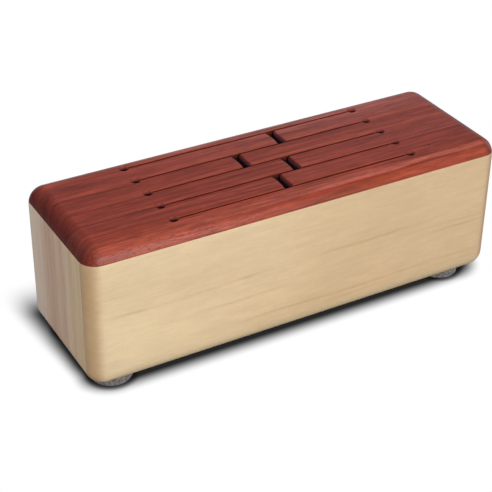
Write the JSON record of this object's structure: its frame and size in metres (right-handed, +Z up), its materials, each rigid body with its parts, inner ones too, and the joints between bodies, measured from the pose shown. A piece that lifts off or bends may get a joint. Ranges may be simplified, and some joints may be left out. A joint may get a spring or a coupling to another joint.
{
  "type": "log drum",
  "caption": "Log drum: a red-brown slit tone plate with tongues on a closed rounded box of pale wood, standing on round felt feet.",
  "frame": {"origin": "on the floor under the middle of the drum, at the height of the undersides of the feet", "axes": "+X along the tongues to the player's right, -Y towards the player at the front, +Z up through the tone plate"},
  "size_m": [0.5, 0.1634, 0.175],
  "materials": {
    "padauk": "satin oil",
    "pale_wood": "matt lacquer",
    "felt": "pressed wool felt"
  },
  "bodies": {
    "root": {"tone_plate_rear_stave": "padauk", "tone_plate_front_stave": "padauk", "front_board": "pale_wood", "rear_board": "pale_wood", "left_end_board": "pale_wood", "right_end_board": "pale_wood", "bottom_board": "pale_wood", "front_left_foot": "felt", "front_right_foot": "felt", "rear_left_foot": "felt", "rear_right_foot": "felt"}
  },
  "joints": []
}
